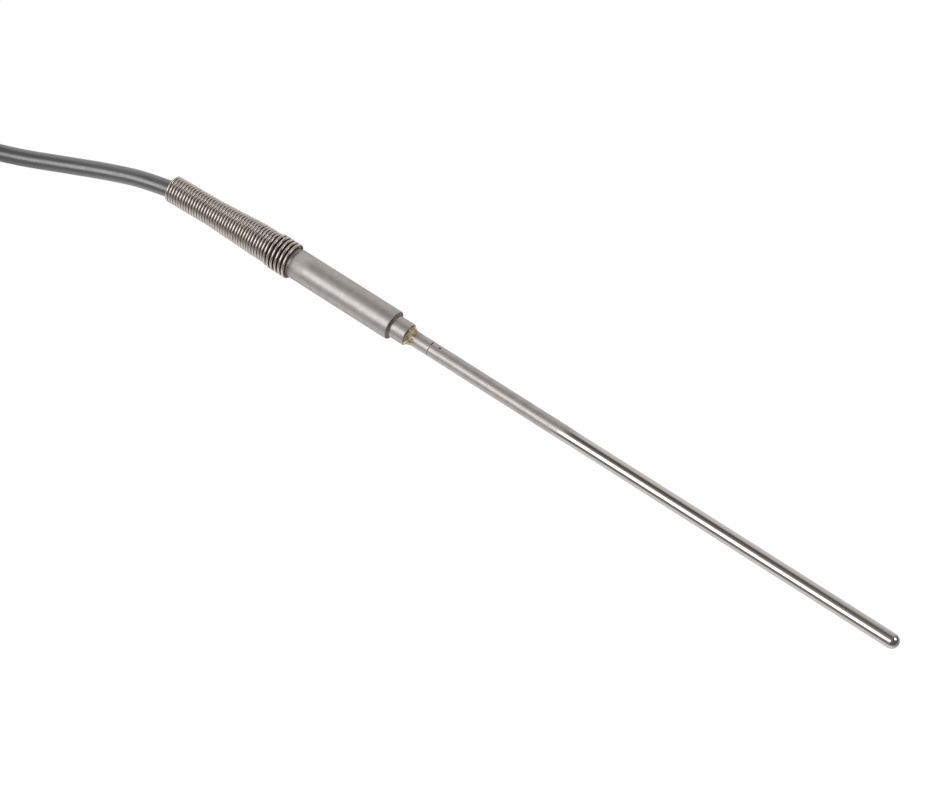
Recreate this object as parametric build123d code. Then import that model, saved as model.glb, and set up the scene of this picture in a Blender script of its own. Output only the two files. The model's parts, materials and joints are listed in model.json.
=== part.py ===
from build123d import *
import math
import os

# Sheathed thermocouple: a steel probe tube in a stepped sleeve, with a coil-spring strain relief
# and a round lead that is folded into a tied hank and ends in a round-pin plug.
# Millimetres. +X runs along the probe to its tip, +Z is up, and the origin is on the probe's
# axis in the plane of the sleeve's shoulder.

# Probe tube
SHEATH_LENGTH = 250.0
SHEATH_IN_SLEEVE = 23.8
SHEATH_RADIUS = 3.0
POLISHED_RADIUS = 2.875
SHEATH_BORE_RADIUS = 2.3
TIP_X = SHEATH_LENGTH - SHEATH_IN_SLEEVE
POLISH_START_X = 77.6
POLISH_FULL_X = 87.3
RING_X = 17.7
RING_WIDTH = 0.34
RING_DEPTH = 0.12
PRICK_X = 21.3
PRICK_RADIUS = 0.4
PRICK_DEPTH = 0.15
PRICK_TURN = 16.6  # degrees from the top, towards +Y
SPIGOT_LENGTH = 2.6

# Thermocouple wires and their insulators
WIRE_RADIUS = 0.5
WIRE_OFFSET = 1.2
JUNCTION_RADIUS = 1.7
JUNCTION_X = 218.8
INSULATOR_RADIUS = 2.2
INSULATOR_HOLE_RADIUS = 0.55
INSULATOR_COUNT = 9
INSULATOR_GAP = 0.2
SEAL_LENGTH = 3.0

# Sleeve, neck and braze
SLEEVE_RADIUS = 6.0
SLEEVE_REAR_X = -57.2
SPRING_SEAT_X = -47.5
SPRING_SEAT_RADIUS = 5.8
SLEEVE_CHAMFER = 0.6
SHOULDER_CHAMFER = 0.2
NECK_RADIUS = 4.55
NECK_LENGTH = 7.2
BRAZE_LENGTH = 3.6
BRAZE_ROOT_RADIUS = 4.2
SHEATH_FIT_RADIUS = 3.02
CAVITY_RADIUS = 4.8
CAVITY_FRONT_X = -12.0
CAVITY_REAR_X = -44.0
CABLE_BORE_RADIUS = 3.55

# Splices inside the sleeve
CRIMP_LENGTH = 6.0
CRIMP_RADIUS = 0.9
POSITIVE_SPLICE_X = -29.0
NEGATIVE_SPLICE_X = -35.0
SLEEVING_LENGTH = 7.8
SLEEVING_RADIUS = 1.3
CORE_RADIUS = 0.95
CORE_STRIP = 1.0  # bare conductor between a crimp and its core's insulation

# Strain-relief spring
SPRING_WIRE_RADIUS = 0.625
SPRING_START_X = -108.4
SPRING_LEAN = 1.75  # degrees that its slim end leans towards -Y
SPRING_ON_SLEEVE = SLEEVE_RADIUS + SPRING_WIRE_RADIUS + 0.025
SPRING_SECTIONS = (  # coils, pitch, first and last radius to the wire's middle
    (15, 1.31, 4.91, 4.91),
    (17, 1.31, 4.91, 6.04),
    (5, 1.40, 6.04, 6.04),
    (1, 1.87, 6.04, SPRING_ON_SLEEVE),
    (5, 1.87, SPRING_ON_SLEEVE, SPRING_ON_SLEEVE),
)
LEANING_SECTIONS = 2

# Lead
CABLE_RADIUS = 3.45
CABLE_END_X = -42.0  # where the jacket ends inside the sleeve
PIVOT_X = -85.0
KNUCKLE_GAP = 0.3
FLOOR_Z = -(SPRING_ON_SLEEVE + SPRING_WIRE_RADIUS)
LAID_Z = FLOOR_Z + CABLE_RADIUS

# The lead's route from the pivot in the spring to the hank, chosen by hand
LEAD_ROUTE = (
    (PIVOT_X, 0.0, 0.0),
    (-99.0, 0.0, 0.0),
    (-118.0, -3.3, -0.7),
    (-134.0, -8.4, -2.2),
    (-152.0, -16.0, -3.5),
    (-171.0, -24.9, LAID_Z),
    (-186.0, -31.0, LAID_Z + 1.6),
    (-200.0, -35.2, LAID_Z + 5.6),
    (-213.0, -35.6, LAID_Z + 7.9),
)

# Hank: two lobes and a waist that the tie holds
HANK_NEAR_X = -200.0
HANK_LENGTH = 141.0
HANK_LOBE = 50.0
HANK_LOW_Y = -49.0
HANK_HIGH_Y = 8.0
HANK_CORNER = 18.0
HANK_WAIST_Y = -17.0
TIE_X = -274.0
LAYER_RISE = CABLE_RADIUS * math.sqrt(3)
HANK_HEIGHT = 4 * CABLE_RADIUS
WAIST_WIDTH = 6 * CABLE_RADIUS
WAIST_HEIGHT = 2 * CABLE_RADIUS + LAYER_RISE
TIE_THICKNESS = 1.3
TIE_WIDTH = 5.0
TIE_CORNER = 2.0
TIE_HEAD = (7.0, 8.0, 5.0)
TIE_HEAD_CORNER = 1.0

# Plug
PLUG_REAR_X = -374.0
PLUG_Y = -36.3
PLUG_LENGTH = 36.0
PLUG_WIDTH = 25.4
PLUG_THICKNESS = 13.0
PLUG_Z = FLOOR_Z + PLUG_THICKNESS / 2
PLUG_CORNER = 3.0
PLUG_EDGE = 0.8
PIN_PITCH = 11.1
PIN_LENGTH = 14.7
POSITIVE_PIN_RADIUS = 2.0
NEGATIVE_PIN_RADIUS = 2.4
PIN_TIP_CHAMFER = 0.6
PIN_NECK = 0.3  # how much slimmer a pin is inside the plug, and how far that neck shows
TERMINAL_SIZE = (8.0, 6.0, 5.0)
TERMINAL_X = 18.0
TERMINAL_HOLE_RADIUS = 1.1
TERMINAL_HOLE_PAST_SCREW = 2.0
PLUG_CLEARANCE = 0.05
CABLE_IN_PLUG = 7.0
CORE_STRAIGHT = 1.6  # straight ends of a core between the jacket and its terminal
CORE_BEND = 2.2
CORE_CHANNEL = (3.0, 2.8)  # extra width beyond the pins' pitch, and height
TONGUE_LENGTH = 10.0
TONGUE_WIDTH = 20.4
TONGUE_CORNER = 2.0
CLAMP_LENGTH = 8.0
CLAMP_TOP = 5.4
CLAMP_GAP = 0.4
CLAMP_SCREW_Y = 6.9
COVER_SCREW_XS = (11.4, 28.5)
SCREW_RADIUS = 1.25
SCREW_HEAD_RADIUS = 2.3
SCREW_HEAD_HEIGHT = 1.5
SCREW_SLOT_WIDTH = 0.7
SCREW_SLOT_DEPTH = 0.7
SCREW_SUNK = 0.3  # how far a cover screw's head lies below the cover
SCREW_FLOOR = 1.5  # plastic left under a screw's tip
TERMINAL_SCREW_RADIUS = 1.5
GRIP_RIBS = 6
GRIP_PITCH = 3.2
GRIP_DEPTH = 0.6
GRIP_WIDTH = 1.4
MARK_X = 31.0  # raised plus and minus signs in front of the pins' roots
MARK_LENGTH = 3.2
MARK_WIDTH = 0.8
MARK_HEIGHT = 0.3

# The tail of the lead from the hank into the plug
TAIL_ROUTE = (
    (-324.0, -45.3, LAID_Z),
    (-335.0, -44.4, LAID_Z + 0.2),
    (-344.5, -42.0, LAID_Z + 1.1),
    (-353.5, -38.0, LAID_Z + 2.3),
    (-362.0, PLUG_Y, PLUG_Z),
    (PLUG_REAR_X - CABLE_IN_PLUG, PLUG_Y, PLUG_Z),
)

ARC_SHARE = 0.45


def rod(x_from, x_to, radius, y=0.0, z=0.0):
    """A round bar along X."""
    middle = (x_from + x_to) / 2
    return Pos(middle, y, z) * Rot(0, 90, 0) * Cylinder(radius, abs(x_to - x_from))


def post(radius, z_from, z_to, x=0.0, y=0.0):
    """A round bar along Z."""
    return Pos(x, y, (z_from + z_to) / 2) * Cylinder(radius, z_to - z_from)


def block(x_from, x_to, width, z_from, z_to, y=0.0):
    """A box along X, centred on y."""
    middle = Pos((x_from + x_to) / 2, y, (z_from + z_to) / 2)
    return middle * Box(x_to - x_from, width, z_to - z_from)


def turned(outline):
    """A body of revolution about X, from (x, radius) points."""
    face = make_face(Polyline(*outline, close=True))
    return revolve(Plane.XZ * face, Axis.X)


def tube_along(name, route):
    """The lead's tube along a route: straight runs joined by tangent arcs."""
    points = [Vector(*point) for point in route]
    runs = [after - before for before, after in zip(points, points[1:])]
    radii = []
    for before, after in zip(runs, runs[1:]):
        half_turn = math.radians(before.get_angle(after)) / 2
        radii.append(ARC_SHARE * min(before.length, after.length) / math.tan(half_turn))
    print(name, "arc radii", [round(radius, 1) for radius in radii])
    path = FilletPolyline(*points, radius=radii)
    section = Plane(origin=path @ 0, z_dir=path % 0) * Circle(CABLE_RADIUS)
    tube = sweep(section, path=path)
    expected = math.pi * CABLE_RADIUS**2 * path.length
    print(name, "length", round(path.length, 1), "volume share", round(tube.volume / expected, 4))
    return tube


# ---- probe tube and what it holds


def sheath_tube():
    ring_low, ring_high = RING_X - RING_WIDTH / 2, RING_X + RING_WIDTH / 2
    tube_end = TIP_X - POLISHED_RADIUS
    tube = turned(
        (
            (-SHEATH_IN_SLEEVE, SHEATH_BORE_RADIUS),
            (-SHEATH_IN_SLEEVE, SHEATH_RADIUS),
            (ring_low, SHEATH_RADIUS),
            (RING_X, SHEATH_RADIUS - RING_DEPTH),
            (ring_high, SHEATH_RADIUS),
            (POLISH_START_X, SHEATH_RADIUS),
            (POLISH_FULL_X, POLISHED_RADIUS),
            (tube_end, POLISHED_RADIUS),
            (tube_end, SHEATH_BORE_RADIUS),
        )
    )
    prick = post(PRICK_RADIUS, SHEATH_RADIUS - PRICK_DEPTH, SHEATH_RADIUS + 1, x=PRICK_X)
    return tube - Rot(-PRICK_TURN, 0, 0) * prick


def tip_plug():
    """The welded end: a hemisphere with a spigot in the tube's bore."""
    face_x = TIP_X - POLISHED_RADIUS
    dome = Pos(face_x, 0, 0) * Sphere(POLISHED_RADIUS)
    dome = dome & rod(face_x, TIP_X + 1, POLISHED_RADIUS + 1)
    return dome + rod(face_x - SPIGOT_LENGTH, face_x, SHEATH_BORE_RADIUS)


def hot_junction():
    return Pos(JUNCTION_X, 0, 0) * Sphere(JUNCTION_RADIUS)


def thermo_wire(side, splice_x):
    wire = rod(splice_x, JUNCTION_X, WIRE_RADIUS, y=side * WIRE_OFFSET)
    return wire - hot_junction()


def insulator_beads():
    """Twin-bore ceramic tubes, end to end in the bore."""
    start = -SHEATH_IN_SLEEVE + SEAL_LENGTH + INSULATOR_GAP
    stop = JUNCTION_X - JUNCTION_RADIUS - INSULATOR_GAP
    pitch = (stop - start) / INSULATOR_COUNT
    beads = []
    for number in range(INSULATOR_COUNT):
        low = start + number * pitch
        bead = rod(low, low + pitch - INSULATOR_GAP, INSULATOR_RADIUS)
        for side in (1, -1):
            bead -= rod(low - 1, low + pitch, INSULATOR_HOLE_RADIUS, y=side * WIRE_OFFSET)
        beads.append(bead)
    return Compound(children=[bead.solid() for bead in beads])


def sheath_seal():
    """Cement that closes the tube's open end around the wires."""
    seal = rod(-SHEATH_IN_SLEEVE, -SHEATH_IN_SLEEVE + SEAL_LENGTH, SHEATH_BORE_RADIUS)
    for side in (1, -1):
        seal -= rod(-SHEATH_IN_SLEEVE - 1, 0, WIRE_RADIUS, y=side * WIRE_OFFSET)
    return seal


# ---- sleeve, braze and splices


def transition_sleeve():
    return turned(
        (
            (SLEEVE_REAR_X, CABLE_BORE_RADIUS),
            (SLEEVE_REAR_X, SPRING_SEAT_RADIUS - SLEEVE_CHAMFER),
            (SLEEVE_REAR_X + SLEEVE_CHAMFER, SPRING_SEAT_RADIUS),
            (SPRING_SEAT_X, SPRING_SEAT_RADIUS),
            (SPRING_SEAT_X, SLEEVE_RADIUS),
            (-SHOULDER_CHAMFER, SLEEVE_RADIUS),
            (0, SLEEVE_RADIUS - SHOULDER_CHAMFER),
            (0, NECK_RADIUS),
            (NECK_LENGTH - SHOULDER_CHAMFER, NECK_RADIUS),
            (NECK_LENGTH, NECK_RADIUS - SHOULDER_CHAMFER),
            (NECK_LENGTH, SHEATH_FIT_RADIUS),
            (CAVITY_FRONT_X, SHEATH_FIT_RADIUS),
            (CAVITY_FRONT_X, CAVITY_RADIUS),
            (CAVITY_REAR_X, CAVITY_RADIUS),
            (CAVITY_REAR_X, CABLE_BORE_RADIUS),
        )
    )


def braze_fillet():
    """The ring of brazing alloy between the neck's end and the tube."""
    low, high = NECK_LENGTH, NECK_LENGTH + BRAZE_LENGTH
    rise = BRAZE_ROOT_RADIUS - SHEATH_RADIUS
    return turned(
        (
            (low, SHEATH_RADIUS),
            (low, BRAZE_ROOT_RADIUS),
            (low + 0.3 * BRAZE_LENGTH, SHEATH_RADIUS + 0.55 * rise),
            (low + 0.65 * BRAZE_LENGTH, SHEATH_RADIUS + 0.2 * rise),
            (high, SHEATH_RADIUS + 0.01),
            (high, SHEATH_RADIUS),
        )
    )


def crimp(side, x, outer, inner, length):
    y = side * WIRE_OFFSET
    return rod(x - length / 2, x + length / 2, outer, y) - rod(x - length, x + length, inner, y)


SPLICES = ((1, POSITIVE_SPLICE_X), (-1, NEGATIVE_SPLICE_X))


def splice_crimps():
    crimps = [crimp(side, x, CRIMP_RADIUS, WIRE_RADIUS, CRIMP_LENGTH) for side, x in SPLICES]
    return Compound(children=[each.solid() for each in crimps])


def splice_sleeving():
    sleeves = [crimp(side, x, SLEEVING_RADIUS, CRIMP_RADIUS, SLEEVING_LENGTH) for side, x in SPLICES]
    return Compound(children=[each.solid() for each in sleeves])


def core_conductor(side, splice_x):
    return rod(CABLE_END_X, splice_x, WIRE_RADIUS, y=side * WIRE_OFFSET)


def core_insulation(side, splice_x):
    y = side * WIRE_OFFSET
    end = splice_x - CRIMP_LENGTH / 2 - CORE_STRIP
    return rod(CABLE_END_X, end, CORE_RADIUS, y) - rod(CABLE_END_X, end, WIRE_RADIUS, y)


def potting(inner_pieces):
    """Resin that fills the sleeve's cavity round everything in it."""
    resin = rod(CAVITY_REAR_X, CAVITY_FRONT_X, CAVITY_RADIUS)
    resin -= rod(-SHEATH_IN_SLEEVE, 0, SHEATH_RADIUS)
    for piece in inner_pieces:
        resin -= piece
    return max(resin.solids(), key=lambda solid: solid.volume)


# ---- strain relief and lead


def strain_spring():
    """One wire wound as a chain of plain and conical helices, each starting where the last one ends."""
    coils = []
    x = SPRING_START_X
    turn = 0.0
    for count, pitch, first_radius, last_radius in SPRING_SECTIONS:
        length = count * pitch
        flare = math.degrees(math.atan((last_radius - first_radius) / length))
        helix = Helix(pitch=pitch, height=length, radius=first_radius, cone_angle=flare)
        along_x = Plane(origin=(0, 0, 0), x_dir=(0, 1, 0), z_dir=(1, 0, 0)).location
        helix = Pos(x, 0, 0) * Rot(turn, 0, 0) * along_x * helix
        end = helix @ 1
        turn = math.degrees(math.atan2(end.Z, end.Y))
        x += length
        coils.append(helix)
    bend = coils[LEANING_SECTIONS - 1] @ 1
    lean = Pos(*bend) * Rot(0, 0, SPRING_LEAN) * Pos(*(-bend))
    coils[:LEANING_SECTIONS] = [lean * helix for helix in coils[:LEANING_SECTIONS]]
    path = Wire(coils)
    section = Plane(origin=path @ 0, z_dir=path % 0) * Circle(SPRING_WIRE_RADIUS)
    return sweep(section, path=path, is_frenet=True, transition=Transition.TRANSFORMED)


def cable_stub():
    """The jacket from the sleeve to the bending point, hollowed to take the lead's knuckle."""
    socket = post(CABLE_RADIUS + KNUCKLE_GAP, -2 * CABLE_RADIUS, 2 * CABLE_RADIUS, x=PIVOT_X)
    return rod(PIVOT_X, CABLE_END_X, CABLE_RADIUS) - socket


def lead_cable(hank):
    """The lead from the bending point to the hank, with its upright round knuckle."""
    knuckle = rod(PIVOT_X, PIVOT_X + CABLE_RADIUS, CABLE_RADIUS)
    knuckle &= post(CABLE_RADIUS, -2 * CABLE_RADIUS, 2 * CABLE_RADIUS, x=PIVOT_X)
    return knuckle + (tube_along("lead", LEAD_ROUTE) - hank)


def cable_tail(hank):
    return tube_along("tail", TAIL_ROUTE) - hank


def cable_hank():
    """The outer shape of the folded lead: two lobes joined by the tied waist."""
    middle_y = (HANK_LOW_Y + HANK_HIGH_Y) / 2
    width = HANK_HIGH_Y - HANK_LOW_Y
    lobe = extrude(RectangleRounded(HANK_LOBE, width, HANK_CORNER), HANK_HEIGHT)
    near = HANK_NEAR_X - HANK_LOBE / 2
    far = HANK_NEAR_X - HANK_LENGTH + HANK_LOBE / 2
    waist_low = FLOOR_Z + TIE_THICKNESS
    waist = block(far, near, WAIST_WIDTH, waist_low, waist_low + WAIST_HEIGHT, HANK_WAIST_Y)
    return Pos(near, middle_y, FLOOR_Z) * lobe + Pos(far, middle_y, FLOOR_Z) * lobe + waist


def cable_tie():
    """A strap round the hank's waist, with its locking head on top."""
    middle_z = FLOOR_Z + TIE_THICKNESS + WAIST_HEIGHT / 2
    outer_width, outer_height = WAIST_WIDTH + 2 * TIE_THICKNESS, WAIST_HEIGHT + 2 * TIE_THICKNESS
    loop = extrude(Plane.YZ * RectangleRounded(outer_width, outer_height, TIE_CORNER), TIE_WIDTH)
    loop = Pos(TIE_X - TIE_WIDTH / 2, HANK_WAIST_Y, middle_z) * loop
    low, high = middle_z - WAIST_HEIGHT / 2, middle_z + WAIST_HEIGHT / 2
    loop -= block(TIE_X - TIE_WIDTH, TIE_X + TIE_WIDTH, WAIST_WIDTH, low, high, HANK_WAIST_Y)
    length, width, height = TIE_HEAD
    head = block(TIE_X - length / 2, TIE_X + length / 2, width, high, high + height, HANK_WAIST_Y)
    return loop + fillet(head.edges().filter_by(Axis.Z), TIE_HEAD_CORNER)


# ---- plug, drawn with +x towards its pins and z = 0 on the split between base and cover


def in_plug_place(shape):
    return Pos(PLUG_REAR_X, PLUG_Y, PLUG_Z) * Rot(0, 0, 180) * shape


def plug_outline():
    shell = block(0, PLUG_LENGTH, PLUG_WIDTH, -PLUG_THICKNESS / 2, PLUG_THICKNESS / 2)
    shell = fillet(shell.edges().filter_by(Axis.Z), PLUG_CORNER)
    ends = shell.faces().sort_by(Axis.Z)
    shell = chamfer(ends[0].edges() + ends[-1].edges(), PLUG_EDGE)
    first = PLUG_LENGTH / 2 - (GRIP_RIBS - 1) / 2 * GRIP_PITCH
    for number in range(GRIP_RIBS):
        x = first + number * GRIP_PITCH
        for side in (1, -1):
            edge = side * PLUG_WIDTH / 2
            low, high = x - GRIP_WIDTH / 2, x + GRIP_WIDTH / 2
            shell -= block(low, high, 2 * GRIP_DEPTH, -PLUG_THICKNESS, PLUG_THICKNESS, edge)
    return shell


PINS = ((-1, POSITIVE_PIN_RADIUS), (1, NEGATIVE_PIN_RADIUS))


def plug_core(side):
    """An insulated core from the end of the jacket to its terminal."""
    y = side * PIN_PITCH / 2
    start = side * WIRE_OFFSET
    end = TERMINAL_X - TERMINAL_SIZE[0] / 2
    path = FilletPolyline(
        (CABLE_IN_PLUG, start, 0),
        (CABLE_IN_PLUG + CORE_STRAIGHT, start, 0),
        (end - CORE_STRAIGHT, y, 0),
        (end, y, 0),
        radius=CORE_BEND,
    )
    return sweep(Plane(origin=path @ 0, z_dir=path % 0) * Circle(CORE_RADIUS), path=path)


def plug_pin(side, radius):
    """A pin with its terminal block, bored for the conductor and tapped for the screw."""
    length, width, height = TERMINAL_SIZE
    y = side * PIN_PITCH / 2
    low, high = TERMINAL_X - length / 2, TERMINAL_X + length / 2
    tip = PLUG_LENGTH + PIN_LENGTH
    shank = rod(PLUG_LENGTH + PIN_NECK, tip, radius, y)
    shank = chamfer(shank.faces().sort_by(Axis.X)[-1].edges(), PIN_TIP_CHAMFER)
    neck = rod(high, PLUG_LENGTH + PIN_NECK, radius - PIN_NECK, y)
    pin = block(low, high, width, -height / 2, height / 2, y) + neck + shank
    pin -= rod(low, TERMINAL_X + TERMINAL_HOLE_PAST_SCREW, TERMINAL_HOLE_RADIUS, y)
    return pin - post(TERMINAL_SCREW_RADIUS, 0, height, TERMINAL_X, y)


def slotted_screw(radius, z_tip, z_seat, x, y):
    """A cheese-head screw, head up, with its slot across the plug."""
    head_top = z_seat + SCREW_HEAD_HEIGHT
    screw = post(radius, z_tip, z_seat, x, y) + post(SCREW_HEAD_RADIUS, z_seat, head_top, x, y)
    half_slot = SCREW_SLOT_WIDTH / 2
    slot_low = head_top - SCREW_SLOT_DEPTH
    return screw - block(x - half_slot, x + half_slot, 3 * SCREW_HEAD_RADIUS, slot_low, head_top + 1, y)


COVER_SEAT = PLUG_THICKNESS / 2 - SCREW_HEAD_HEIGHT - SCREW_SUNK
SCREW_TIP = SCREW_FLOOR - PLUG_THICKNESS / 2


def terminal_screws():
    seat = TERMINAL_SIZE[2] / 2
    places = [(TERMINAL_X, side * PIN_PITCH / 2) for side, _ in PINS]
    radius, tip = TERMINAL_SCREW_RADIUS, TERMINAL_HOLE_RADIUS
    made = [slotted_screw(radius, tip, seat, x, y) for x, y in places]
    return Compound(children=[in_plug_place(screw).solid() for screw in made])


def cover_screws():
    made = [slotted_screw(SCREW_RADIUS, SCREW_TIP, COVER_SEAT, x, 0) for x in COVER_SCREW_XS]
    return Compound(children=[in_plug_place(screw).solid() for screw in made])


def clamp_screws():
    places = [(-TONGUE_LENGTH / 2, side * CLAMP_SCREW_Y) for side in (1, -1)]
    made = [slotted_screw(SCREW_RADIUS, SCREW_TIP, CLAMP_TOP, x, y) for x, y in places]
    return Compound(children=[in_plug_place(screw).solid() for screw in made])


def plug_hollows():
    """Everything that the base and cover leave room for."""
    length, width, height = TERMINAL_SIZE
    gap = PLUG_CLEARANCE
    low, high = TERMINAL_X - length / 2, TERMINAL_X + length / 2
    hollows = [rod(-TONGUE_LENGTH - 1, CABLE_IN_PLUG, CABLE_RADIUS)]
    extra, deep = CORE_CHANNEL
    hollows.append(block(CABLE_IN_PLUG, low, PIN_PITCH + extra, -deep / 2, deep / 2))
    for side, radius in PINS:
        y = side * PIN_PITCH / 2
        hollows.append(block(low - gap, high + gap, width + 2 * gap, -height / 2 - gap, height / 2 + gap, y))
        hollows.append(rod(high, PLUG_LENGTH + 1, radius - PIN_NECK + gap, y))
        hollows.append(post(SCREW_HEAD_RADIUS + gap, 0, height / 2 + SCREW_HEAD_HEIGHT + gap, TERMINAL_X, y))
    return hollows


def bored_for_screws(shape):
    """Holes for the cover's screws and the clamp's screws, with sunk seats for the cover's."""
    for x in COVER_SCREW_XS:
        shape -= post(SCREW_RADIUS, SCREW_TIP, PLUG_THICKNESS, x, 0)
        shape -= post(SCREW_HEAD_RADIUS + PLUG_CLEARANCE, COVER_SEAT, PLUG_THICKNESS, x, 0)
    for side in (1, -1):
        x, y = -TONGUE_LENGTH / 2, side * CLAMP_SCREW_Y
        shape -= post(SCREW_RADIUS, SCREW_TIP, PLUG_THICKNESS, x, y)
    return shape


def plug_base():
    base = plug_outline() & block(-1, PLUG_LENGTH + 1, 2 * PLUG_WIDTH, -PLUG_THICKNESS, 0)
    tongue = block(-TONGUE_LENGTH, PLUG_CORNER, TONGUE_WIDTH, -PLUG_THICKNESS / 2, 0)
    base += fillet(tongue.edges().filter_by(Axis.Z).sort_by(Axis.X)[:2], TONGUE_CORNER)
    for hollow in plug_hollows():
        base -= hollow
    return bored_for_screws(base)


def plug_cover():
    cover = plug_outline() & block(-1, PLUG_LENGTH + 1, 2 * PLUG_WIDTH, 0, PLUG_THICKNESS)
    for hollow in plug_hollows():
        cover -= hollow
    cover = bored_for_screws(cover)
    low, high = PLUG_THICKNESS / 2, PLUG_THICKNESS / 2 + MARK_HEIGHT
    wide, narrow = MARK_LENGTH / 2, MARK_WIDTH / 2
    for side, _ in PINS:
        y = side * PIN_PITCH / 2
        cover += block(MARK_X - narrow, MARK_X + narrow, MARK_LENGTH, low, high, y)
        if side < 0:
            cover += block(MARK_X - wide, MARK_X + wide, MARK_WIDTH, low, high, y)
    return cover


def cord_clamp():
    """The saddle that holds the lead down on the base's tongue."""
    x_low = -TONGUE_LENGTH / 2 - CLAMP_LENGTH / 2
    saddle = block(x_low, x_low + CLAMP_LENGTH, TONGUE_WIDTH, CLAMP_GAP, CLAMP_TOP)
    saddle = fillet(saddle.edges().filter_by(Axis.Z), TONGUE_CORNER)
    saddle -= rod(-TONGUE_LENGTH - 1, 1, CABLE_RADIUS)
    for side in (1, -1):
        saddle -= post(SCREW_RADIUS, -1, PLUG_THICKNESS, -TONGUE_LENGTH / 2, side * CLAMP_SCREW_Y)
    return saddle


def all_nodes():
    hank = cable_hank()
    stub = cable_stub()
    nodes = {
        "sheath_tube": sheath_tube(),
        "tip_plug": tip_plug(),
        "hot_junction": hot_junction(),
        "thermo_wire_positive": thermo_wire(*SPLICES[0]),
        "thermo_wire_negative": thermo_wire(*SPLICES[1]),
        "insulator_beads": insulator_beads(),
        "sheath_seal": sheath_seal(),
        "transition_sleeve": transition_sleeve(),
        "braze_fillet": braze_fillet(),
        "splice_crimps": splice_crimps(),
        "splice_sleeving": splice_sleeving(),
        "core_conductor_positive": core_conductor(*SPLICES[0]),
        "core_conductor_negative": core_conductor(*SPLICES[1]),
        "core_insulation_positive": core_insulation(*SPLICES[0]),
        "core_insulation_negative": core_insulation(*SPLICES[1]),
        "cable_stub": stub,
        "strain_spring": strain_spring(),
    }
    buried = [
        "thermo_wire_positive",
        "thermo_wire_negative",
        "splice_crimps",
        "splice_sleeving",
        "core_conductor_positive",
        "core_conductor_negative",
        "core_insulation_positive",
        "core_insulation_negative",
        "cable_stub",
    ]
    nodes["potting"] = potting([nodes[name] for name in buried])
    nodes["cable"] = lead_cable(hank)
    nodes["cable_hank"] = hank
    nodes["cable_tie"] = cable_tie()
    nodes["cable_tail"] = cable_tail(hank)
    nodes["plug_base"] = in_plug_place(plug_base())
    nodes["plug_cover"] = in_plug_place(plug_cover())
    nodes["plug_pin_positive"] = in_plug_place(plug_pin(*PINS[0]))
    nodes["plug_pin_negative"] = in_plug_place(plug_pin(*PINS[1]))
    nodes["plug_core_positive"] = in_plug_place(plug_core(PINS[0][0]))
    nodes["plug_core_negative"] = in_plug_place(plug_core(PINS[1][0]))
    nodes["terminal_screws"] = terminal_screws()
    nodes["cover_screws"] = cover_screws()
    nodes["cord_clamp"] = in_plug_place(cord_clamp())
    nodes["clamp_screws"] = clamp_screws()
    return nodes


os.makedirs("parts", exist_ok=True)
for node, shape in all_nodes().items():
    export_step(shape, f"parts/{node}.step")
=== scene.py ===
"""Looks of a sheathed thermocouple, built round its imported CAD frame.

Sizes and places are in millimetres and are turned into metres where they are handed to Blender.
+X runs along the probe to its tip, +Z is up, and the origin is on the probe's axis at the sleeve's shoulder.
"""

import json
import math

import bmesh
import bpy
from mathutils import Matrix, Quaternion, Vector, noise


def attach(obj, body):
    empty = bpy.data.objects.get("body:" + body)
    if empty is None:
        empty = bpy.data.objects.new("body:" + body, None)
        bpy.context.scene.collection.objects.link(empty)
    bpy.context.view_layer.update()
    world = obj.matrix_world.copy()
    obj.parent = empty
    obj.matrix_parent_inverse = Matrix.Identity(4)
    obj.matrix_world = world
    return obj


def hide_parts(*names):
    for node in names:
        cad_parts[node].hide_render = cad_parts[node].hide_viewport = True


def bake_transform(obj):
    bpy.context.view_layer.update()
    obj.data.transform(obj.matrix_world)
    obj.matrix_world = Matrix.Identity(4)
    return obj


MM = 0.001
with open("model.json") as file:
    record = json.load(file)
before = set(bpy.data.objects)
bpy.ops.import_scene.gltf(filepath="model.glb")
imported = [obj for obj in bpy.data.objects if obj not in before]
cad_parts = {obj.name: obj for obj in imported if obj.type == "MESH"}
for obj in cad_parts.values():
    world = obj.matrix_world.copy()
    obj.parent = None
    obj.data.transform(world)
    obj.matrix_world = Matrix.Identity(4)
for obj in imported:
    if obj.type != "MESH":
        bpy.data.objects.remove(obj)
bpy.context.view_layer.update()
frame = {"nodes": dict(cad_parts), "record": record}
scene = bpy.context.scene
scene.view_settings.view_transform = "Standard"  # the floor stays pure white


# ---- camera

CAMERA_AZIMUTH = 36.635
CAMERA_ELEVATION = 59.261
CAMERA_PLACE = (354.46, -429.78, 879.86)
CAMERA_ROLL = -0.07
CAMERA_LENS = 105.0
CAMERA_SENSOR = 36.0


def in_metres(point):
    return Vector(point) * MM


def make_camera():
    azimuth, elevation = math.radians(CAMERA_AZIMUTH), math.radians(CAMERA_ELEVATION)
    level = math.cos(elevation)
    back = Vector((math.sin(azimuth) * level, -math.cos(azimuth) * level, math.sin(elevation)))
    data = bpy.data.cameras.new("camera")
    data.lens = CAMERA_LENS
    data.sensor_width = CAMERA_SENSOR
    camera = bpy.data.objects.new("camera", data)
    scene.collection.objects.link(camera)
    camera.location = in_metres(CAMERA_PLACE)
    camera.rotation_mode = "QUATERNION"
    roll = Quaternion((0.0, 0.0, 1.0), math.radians(CAMERA_ROLL))
    camera.rotation_quaternion = (-back).to_track_quat("-Z", "Y") @ roll
    scene.camera = camera


make_camera()


# ---- the lead: one cord from inside the spring, through the tied hank, to the plug

CORD_RADIUS = 3.45
CORD_DIAMETER = 2 * CORD_RADIUS
FLOOR_Z = -7.275
LAID_Z = FLOOR_Z + CORD_RADIUS
OVER_Z = LAID_Z + CORD_DIAMETER  # a strand that lies on another
PLUG_Y = -36.3
PLUG_Z = -0.775

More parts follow.
